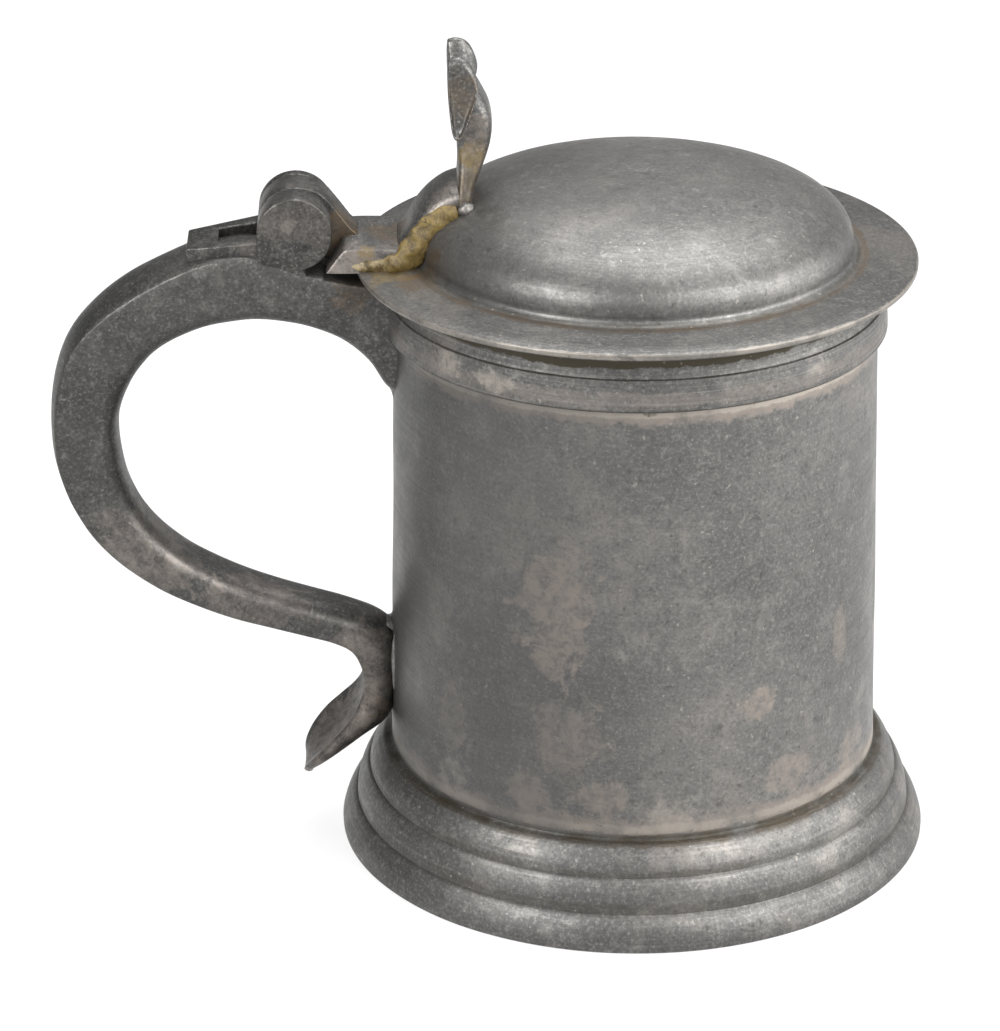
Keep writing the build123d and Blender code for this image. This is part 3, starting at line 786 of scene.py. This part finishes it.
def make_lugs():
    """The two cheeks of the hinge that belong to the handle."""
    outline = [about_hinge(BARREL, angle) for angle in range(-78, 181, 6)]
    outline += [(HINGE[0] - BARREL, 129.9), (-72.0, 128.8), (-68.2, 127.2), (-66.6, 126.9)]
    near = prism("hinge_lug_near", outline, -HALF_HINGE - LUG_PROUD, KNUCKLE[0] - KNUCKLE_GAP)
    soften(near, LUG_BEVEL)
    seat(near, "vessel", "pewter", HINGE_PEWTER, "hinge_cheek_near")
    far = prism("hinge_lug_far", outline, KNUCKLE[1] + KNUCKLE_GAP, HALF_HINGE)
    soften(far, LUG_BEVEL)
    seat(far, "vessel", "pewter", HINGE_PEWTER, "hinge_cheek_far")


# Ledge behind the barrel: x, half width and height at its two ends, then the slot's end in x and sides in y.
LEDGE_END = (-91.2, 5.8, 132.2)
LEDGE_FRONT = (-76.2, 8.8, 134.4)
LEDGE_FOOT = 127.0
SLOT = (-84.8, -3.2, 4.0)


def make_ledge():
    """Wedge behind the barrel, slotted from above."""
    slot_x, slot_near, slot_far = SLOT
    end_x, end_half, end_z = LEDGE_END
    front_x, front_half, front_z = LEDGE_FRONT
    plan = [
        (end_x, -end_half),
        (front_x, -front_half),
        (front_x, slot_near),
        (slot_x, slot_near),
        (slot_x, slot_far),
        (front_x, slot_far),
        (front_x, front_half),
        (end_x, end_half),
    ]
    slope = (front_z - end_z) / (front_x - end_x)
    foot = [(x, y, LEDGE_FOOT) for x, y in plan]
    top = [(x, y, end_z + slope * (x - end_x)) for x, y in plan]
    ledge = loft("hinge_wedge", [foot, top])
    soften(ledge, LUG_BEVEL)
    seat(ledge, "vessel", "pewter", HINGE_PEWTER, "hinge_ledge")


def make_knuckle():
    """Middle lug of the barrel, on the lid, with its ramp."""
    outline = [about_hinge(BARREL, angle) for angle in range(98, 309, 6)]
    outline += [(-62.9, 128.2), (-56.5, 128.2), (-56.5, 133.6)]
    outline += [(-58.2, 135.2), (-60.2, 138.0), (-62.4, 140.9), (-64.4, 142.7), (-67.0, 143.5)]
    lug = prism("lid_lug", outline, KNUCKLE[0], KNUCKLE[1])
    soften(lug, KNUCKLE_BEVEL)
    seat(lug, "lid", "pewter", HINGE_PEWTER, "lid_knuckle")


# Sections of the lid's strap: x of the top, half width, heights of crest, edges and underside, and how far
# the foot leans back.
STRAP = (
    (-60.0, 9.6, 132.6, 132.2, 128.2, 3.0),
    (-59.5, 9.85, 133.3, 132.8, 128.2, 3.2),
    (-58.6, 10.0, 133.6, 133.1, 128.2, 2.6),
    (-56.8, 10.0, 133.6, 133.3, 128.2, 1.0),
    (-54.0, 10.0, 133.3, 133.3, 128.3, 0.0),
    (-51.0, 10.0, 133.2, 133.2, 128.5, 0.0),
    (-48.5, 9.8, 133.3, 132.9, 128.6, 0.0),
    (-46.0, 9.3, 133.8, 132.5, 128.8, 0.0),
    (-43.5, 8.6, 134.4, 132.2, 129.4, 0.0),
)
STRAP_STEPS = 16


def strap_ring(station):
    """One cross-section of the strap: the crowned top, then the two sides."""
    x, half, crest, edge, low, lean = station
    ring = []
    for i in range(STRAP_STEPS + 1):
        y = half * (2 * i / STRAP_STEPS - 1)
        ring.append((x, y, edge + (crest - edge) * (1 - (y / half) ** 2)))
    shoulder_x = x - 0.15 * lean
    shoulder_z = edge - 0.6
    ring.append((shoulder_x, half + 0.25, shoulder_z))
    ring.append((x - lean, half + 0.1, low))
    ring.append((x - lean, -half - 0.1, low))
    ring.append((shoulder_x, -half - 0.25, shoulder_z))
    return ring


# Tongue up the dome: its edge and its crest as x and z, and its half width.
TONGUE = (
    (-48.0, 131.6, -48.6, 133.4, 8.6),
    (-46.4, 132.4, -47.1, 135.2, 8.6),
    (-44.6, 134.4, -45.7, 137.8, 8.55),
    (-42.6, 136.8, -44.0, 140.5, 8.5),
    (-40.2, 139.0, -41.6, 143.0, 8.5),
    (-37.6, 140.9, -38.7, 144.9, 8.45),
    (-34.8, 142.4, -35.4, 145.8, 8.4),
)
TONGUE_STEPS = 24
TONGUE_SQUARE = 0.72


def make_strap():
    """The strap over the brim and the round tongue that runs on up the dome."""
    strap = loft("lid_strap", [strap_ring(station) for station in smooth_line(STRAP, 3)], sharp=40)
    seat(strap, "lid", "pewter", STRAP_PEWTER, "lid_bracket")
    rings = []
    for edge_x, edge_z, crest_x, crest_z, half in smooth_line(TONGUE, 4):
        ring = []
        for j in range(TONGUE_STEPS + 1):
            turn = math.pi * j / TONGUE_STEPS
            cos = math.cos(turn)
            rise = math.sin(turn) ** TONGUE_SQUARE
            y = half * math.copysign(abs(cos) ** TONGUE_SQUARE, cos)
            ring.append((edge_x + rise * (crest_x - edge_x), y, edge_z + rise * (crest_z - edge_z)))
        bed = min(lid_bed(edge_x, half), edge_z - 0.2)
        ring += [(edge_x, -half, bed), (edge_x, half, bed)]
        rings.append(ring)
    tongue = loft("lid_tongue", rings, sharp=50)
    seat(tongue, "lid", "pewter", STRAP_PEWTER)


# Thumbpiece stem by height: back, front and half width.
STEM = (
    (138.0, -36.8, -33.4, 8.8),
    (142.0, -36.7, -33.2, 8.8),
    (145.0, -36.5, -32.6, 7.8),
    (149.0, -36.3, -31.0, 6.4),
    (153.0, -36.4, -29.7, 5.8),
    (157.0, -36.8, -29.2, 6.0),
    (160.5, -37.2, -29.8, 6.2),
    (163.5, -37.3, -31.2, 5.6),
    (165.8, -37.3, -32.4, 4.4),
    (167.2, -37.1, -33.4, 2.6),
)
STEM_SIDES = 48
# Powers that square off the stem's back, front and sides. 1 is round.
STEM_BACK = 0.4
STEM_FRONT = 0.7
STEM_SIDE = 0.45
# Leaf of each horn in side view, as x and z.
HORN = (
    (-38.0, 172.0),
    (-36.3, 172.4),
    (-34.3, 171.7),
    (-32.9, 169.7),
    (-32.0, 166.8),
    (-32.2, 164.4),
    (-33.2, 161.6),
    (-34.0, 159.2),
    (-34.7, 157.2),
    (-35.7, 156.0),
    (-36.8, 155.9),
    (-37.4, 157.6),
    (-37.8, 161.0),
    (-38.1, 165.0),
    (-38.2, 169.6),
)
HORN_ROOT = (-36.0, 158.5)
# Layers of a horn from the middle out to its dished face: distance from the middle, and size about the root.
HORN_LAYERS = (
    (0.8, 0.52),
    (3.0, 0.58),
    (4.8, 0.70),
    (6.2, 0.88),
    (7.2, 0.98),
    (8.2, 1.0),
    (9.0, 0.97),
    (9.5, 0.92),
    (9.6, 0.87),
    (9.3, 0.80),
    (8.8, 0.66),
    (8.4, 0.45),
)
# How much the horns draw together with each millimetre of height, and the grain that fuses the thumbpiece
HORN_LEAN = 0.014
THUMB_GRAIN = 0.25


def make_horn(side):
    """One horn, on the side of y that the sign says."""
    leaf = smooth_line(HORN + HORN[:1], 4)[:-1]
    root_x, root_z = HORN_ROOT
    layers = []
    for away, size in HORN_LAYERS:
        layer = []
        for x, z in leaf:
            high = size * (z - root_z)
            lean = 1 - HORN_LEAN * high
            layer.append((root_x + size * (x - root_x), side * away * lean, root_z + high))
        layers.append(layer)
    return loft("horn", layers)


def make_thumb():
    """The stem and its pair of horns, fused into one casting."""
    rings = []
    for level, back, front, half in smooth_line(STEM, 3):
        middle = (front + back) / 2
        deep = (front - back) / 2
        ring = []
        for j in range(STEM_SIDES):
            turn = 2 * math.pi * j / STEM_SIDES
            cos = math.cos(turn)
            sin = math.sin(turn)
            power = STEM_BACK if cos < 0 else STEM_FRONT
            x = middle + deep * math.copysign(abs(cos) ** power, cos)
            y = half * math.copysign(abs(sin) ** STEM_SIDE, sin)
            ring.append((x, y, max(level, lid_bed(x, y))))
        rings.append(ring)
    thumb = loft("thumb_horns", rings)
    shape = bmesh.new()
    shape.from_mesh(thumb.data)
    for side in (-1, 1):
        horn = make_horn(side)
        shape.from_mesh(horn.data)
        bpy.data.objects.remove(horn)
    shape.to_mesh(thumb.data)
    shape.free()
    fuse = thumb.modifiers.new("fuse", "REMESH")
    fuse.mode = "VOXEL"
    fuse.voxel_size = THUMB_GRAIN * MM
    even = thumb.modifiers.new("even", "SMOOTH")
    even.factor = 0.5
    even.iterations = 3
    apply_modifiers(thumb)
    thumb.data.shade_smooth()
    seat(thumb, "lid", "pewter", THUMB_PEWTER, "thumbpiece")


LUMP_SIDES = 20
# A direction that no bead follows
LUMP_ASIDE = Vector((0.3, 0.5, 0.8))


def lump(name, line, bump, grain):
    """Bead of round section along a line of x, y, z and radius, uneven by bump."""
    rings = []
    for i, (x, y, z, radius) in enumerate(line):
        before = Vector(line[max(i - 1, 0)][:3])
        after = Vector(line[min(i + 1, len(line) - 1)][:3])
        way = (after - before).normalized()
        side = way.cross(LUMP_ASIDE).normalized()
        up = way.cross(side)
        ring = []
        for j in range(LUMP_SIDES):
            turn = 2 * math.pi * j / LUMP_SIDES
            out = side * math.cos(turn) + up * math.sin(turn)
            at = Vector((x, y, z)) + out * radius
            ring.append(at + out * bump * noise.noise(at * grain))
        rings.append(ring)
    return loft(name, rings, sharp=60)


# Bright bead of solder at the thumbpiece's near foot: x, y, z and radius.
THUMB_BEAD = (
    (-36.3, -8.8, 140.5, 0.3),
    (-35.6, -9.2, 140.9, 1.0),
    (-34.8, -9.3, 141.3, 1.4),
    (-34.0, -9.1, 141.7, 1.2),
    (-33.4, -8.7, 142.1, 0.4),
)


def make_thumb_bead():
    """The bright bead at the thumbpiece's foot."""
    bead = lump("thumb_solder", smooth_line(THUMB_BEAD, 5), bump=0.35, grain=0.9)
    seat(bead, "lid", "solder", BRIGHT_SOLDER)


# Solder in the corners between handle and drum, as x and z: the corner, then the fillet's hollow face.
UPPER_ROOT = (
    (-47.8, 104.6),
    (-53.0, 104.6),
    (-52.2, 102.6),
    (-51.2, 100.8),
    (-50.4, 99.2),
    (-49.95, 97.6),
    (-47.8, 97.4),
)
LOWER_ROOT = (
    (-48.2, 44.5),
    (-52.6, 47.0),
    (-52.0, 47.0),
    (-51.5, 47.2),
    (-51.1, 47.6),
    (-50.85, 48.1),
    (-50.74, 48.7),
    (-48.2, 48.7),
)
ROOT_STEPS = 16
ROOT_THIN = 0.12
ROOT_UNEVEN = 0.2
ROOT_GRAIN = 0.5
# Run of solder down the drum, beside the handle's strut
SEAM_LOW = 33.0
SEAM_HIGH = 46.0
SEAM_Y = -6.4
SEAM_WANDER = 0.3
SEAM_RADIUS = 0.6
SEAM_STEPS = 24


def root_fillet(name, section, half):
    """Fillet across the handle that thins out towards both sides."""
    corner_x, corner_z = section[0]
    rings = []
    for i in range(ROOT_STEPS + 1):
        share = 2 * i / ROOT_STEPS - 1
        size = ROOT_THIN + (1 - ROOT_THIN) * math.sqrt(1 - share**2)
        ring = []
        for x, z in section:
            at = Vector((corner_x + size * (x - corner_x), share * half, corner_z + size * (z - corner_z)))
            uneven = ROOT_UNEVEN * noise.noise(at * ROOT_GRAIN)
            ring.append(at + Vector((uneven, 0, uneven)))
        rings.append(ring)
    return loft(name, rings, sharp=50)


def make_roots():
    """Solder at the handle's two roots and the run of it beside the strut."""
    upper = root_fillet("upper_root_solder", UPPER_ROOT, half=7.6)
    seat(upper, "vessel", "solder", ROOT_SOLDER, "upper_handle_solder")
    lower = root_fillet("lower_root_solder", LOWER_ROOT, half=5.0)
    seat(lower, "vessel", "solder", ROOT_SOLDER, "lower_handle_solder")
    line = []
    for i in range(SEAM_STEPS + 1):
        z = SEAM_LOW + (SEAM_HIGH - SEAM_LOW) * i / SEAM_STEPS
        y = SEAM_Y + SEAM_WANDER * noise.noise((0, 0, z * 0.2))
        x = -math.sqrt(drum_radius(z) ** 2 - y**2)
        swell = math.sqrt(max(math.sin(math.pi * i / SEAM_STEPS), 0.05))
        line.append((x, y, z, SEAM_RADIUS * swell))
    seam = lump("seam_solder", line, bump=0.25, grain=0.35)
    seat(seam, "vessel", "solder", BRIGHT_SOLDER)


# Glue along the near side: middle of the band as x and z, its half height and how far it stands out.
GLUE_LINE = (
    (-58.0, 129.3, 0.5, 0.4),
    (-56.4, 129.5, 1.2, 1.2),
    (-53.0, 129.7, 1.7, 2.2),
    (-49.8, 129.9, 2.0, 2.7),
    (-47.0, 130.8, 2.6, 2.5),
    (-44.8, 133.2, 3.1, 1.7),
    (-42.8, 135.8, 3.1, 1.4),
    (-40.6, 138.1, 2.9, 1.3),
    (-38.6, 139.7, 2.6, 1.2),
    (-37.2, 140.6, 2.0, 1.0),
    (-36.3, 141.1, 0.9, 0.5),
)
GLUE_Y = -9.3
GLUE_SIDES = 28
GLUE_UNEVEN = 0.7


def make_glue():
    """Uneven band of glue along the strap and the tongue."""
    line = smooth_line(GLUE_LINE, 6)
    rings = []
    for i, (x, z, tall, proud) in enumerate(line):
        before = line[max(i - 1, 0)]
        after = line[min(i + 1, len(line) - 1)]
        way = Vector((after[0] - before[0], 0, after[1] - before[1])).normalized()
        up = Vector((-way.z, 0, way.x))
        ring = []
        for j in range(GLUE_SIDES):
            turn = 2 * math.pi * j / GLUE_SIDES
            at = Vector((x, GLUE_Y, z)) + up * tall * math.cos(turn)
            out = proud * math.sin(turn)
            coarse = noise.noise(at * 0.4)
            fine = noise.noise(at * 1.1)
            uneven = GLUE_UNEVEN * (0.8 * coarse + 0.2 * fine)
            at += up * uneven - Vector((0, out * (1 + uneven), 0))
            at.z = max(at.z, lid_bed(at.x, at.y))
            ring.append(at)
        rings.append(ring)
    glue = loft("glue_bead", rings, sharp=60)
    seat(glue, "lid", "adhesive", GLUE, "repair_adhesive")


def paint_nodes():
    """Material for the CAD nodes that stay."""
    for node, material in (
        ("drum_floor", INSIDE_PEWTER),
        ("lid_bezel", INSIDE_PEWTER),
        ("hinge_pin", HINGE_PEWTER),
    ):
        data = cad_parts[node].data
        data.materials.clear()
        data.materials.append(material)


FLOOR_HALF = 6.0
FLOOR_COLOUR = (0.9, 0.9, 0.9, 1)
FLOOR_GLOW = 0.8


def studio_material(name, colour, glow):
    """Pale stage surface that shows near white to the camera and in reflections, and keeps its shadows."""
    material = bpy.data.materials.new(name)
    material.use_nodes = True
    tree = material.node_tree
    tree.nodes.clear()
    path = tree.nodes.new("ShaderNodeLightPath")
    mirrored = tree.nodes.new("ShaderNodeMath")
    mirrored.operation = "MAXIMUM"
    tree.links.new(path.outputs["Is Glossy Ray"], mirrored.inputs[0])
    tree.links.new(path.outputs["Is Transmission Ray"], mirrored.inputs[1])
    seen = tree.nodes.new("ShaderNodeMath")
    seen.operation = "MAXIMUM"
    tree.links.new(path.outputs["Is Camera Ray"], seen.inputs[0])
    tree.links.new(mirrored.outputs[0], seen.inputs[1])
    share = tree.nodes.new("ShaderNodeMath")
    share.operation = "MULTIPLY"
    share.inputs[1].default_value = glow
    tree.links.new(seen.outputs[0], share.inputs[0])
    diffuse = tree.nodes.new("ShaderNodeBsdfDiffuse")
    diffuse.inputs["Color"].default_value = colour
    white = tree.nodes.new("ShaderNodeEmission")
    mix = tree.nodes.new("ShaderNodeMixShader")
    tree.links.new(share.outputs[0], mix.inputs[0])
    tree.links.new(diffuse.outputs[0], mix.inputs[1])
    tree.links.new(white.outputs[0], mix.inputs[2])
    out = tree.nodes.new("ShaderNodeOutputMaterial")
    tree.links.new(mix.outputs[0], out.inputs["Surface"])
    return material


def add_floor():
    """Plain pale floor."""
    mesh = bpy.data.meshes.new("floor")
    half = FLOOR_HALF
    corners = [(-half, -half, 0), (half, -half, 0), (half, half, 0), (-half, half, 0)]
    mesh.from_pydata(corners, [], [(0, 1, 2, 3)])
    mesh.materials.append(studio_material("floor_white", FLOOR_COLOUR, FLOOR_GLOW))
    floor = bpy.data.objects.new("floor", mesh)
    bpy.context.collection.objects.link(floor)


# Lamps in metres and watts: name, place, point looked at, width and height, power.
LAMPS = (
    ("overhead", (0.15, 0.3, 1.3), (0, 0, 0.1), (1.2, 1.0), 25.0),
    ("front_left", (-0.72, -0.68, 0.66), (0, 0, 0.12), (0.6, 0.45), 12.0),
    ("front_right", (0.7, -0.7, 0.66), (0, 0, 0.12), (0.6, 0.45), 11.5),
    ("front", (0.0, -1.2, 0.9), (0, 0, 0.12), (0.5, 0.3), 1.6),
    ("right", (1.2, -0.1, 0.35), (0, 0, 0.08), (0.9, 0.7), 10.0),
)


def add_light(name, place, aim, size, power):
    """Soft rectangular lamp that looks at a point."""
    data = bpy.data.lights.new(name, "AREA")
    data.shape = "RECTANGLE"
    data.size, data.size_y = size
    data.energy = power
    lamp = bpy.data.objects.new(name, data)
    lamp.location = place
    way = Vector(aim) - Vector(place)
    lamp.rotation_euler = way.to_track_quat("-Z", "Y").to_euler()
    bpy.context.collection.objects.link(lamp)


# Strength of the surround at its two sides
WORLD_LEFT = 0.12
WORLD_RIGHT = 0.5


def add_world():
    """Soft surround that is brighter to the right."""
    world = bpy.data.worlds.new("studio")
    world.use_nodes = True
    tree = world.node_tree
    background = tree.nodes["Background"]
    background.inputs["Color"].default_value = (1, 1, 1, 1)
    way = tree.nodes.new("ShaderNodeSeparateXYZ")
    tree.links.new(tree.nodes.new("ShaderNodeTexCoord").outputs["Generated"], way.inputs[0])
    side = tree.nodes.new("ShaderNodeMapRange")
    side.inputs["From Min"].default_value = -1.0
    side.inputs["To Min"].default_value = WORLD_LEFT
    side.inputs["To Max"].default_value = WORLD_RIGHT
    tree.links.new(way.outputs[0], side.inputs["Value"])
    tree.links.new(side.outputs[0], background.inputs["Strength"])
    bpy.context.scene.world = world


# Camera in metres and degrees: its place, how far it is turned, tilted down and rolled, and its lens in mm.
CAMERA_PLACE = (-0.04248, -0.83854, 0.43886)
CAMERA_TURN = -0.99
CAMERA_DOWN = 23.73
CAMERA_ROLL = -0.28
CAMERA_LENS = 153.2
CAMERA_SENSOR = 36.0


def add_camera():
    """Camera at the photograph's place, tilt and roll."""
    data = bpy.data.cameras.new("camera")
    data.lens = CAMERA_LENS
    data.sensor_width = CAMERA_SENSOR
    data.clip_end = 20.0
    camera = bpy.data.objects.new("camera", data)
    turn = Matrix.Rotation(math.radians(CAMERA_TURN), 4, "Z")
    tilt = Matrix.Rotation(math.radians(90 - CAMERA_DOWN), 4, "X")
    roll = Matrix.Rotation(math.radians(CAMERA_ROLL), 4, "Z")
    camera.matrix_world = Matrix.Translation(CAMERA_PLACE) @ turn @ tilt @ roll
    bpy.context.collection.objects.link(camera)
    bpy.context.scene.camera = camera


make_foot()
make_drum()
make_band()
make_brim()
make_dome()
make_handle()
make_lugs()
make_ledge()
make_knuckle()
make_strap()
make_thumb()
make_thumb_bead()
make_roots()
make_glue()
paint_nodes()
add_floor()
add_world()
for lamp in LAMPS:
    add_light(*lamp)
add_camera()
bpy.context.scene.view_settings.view_transform = "Standard"
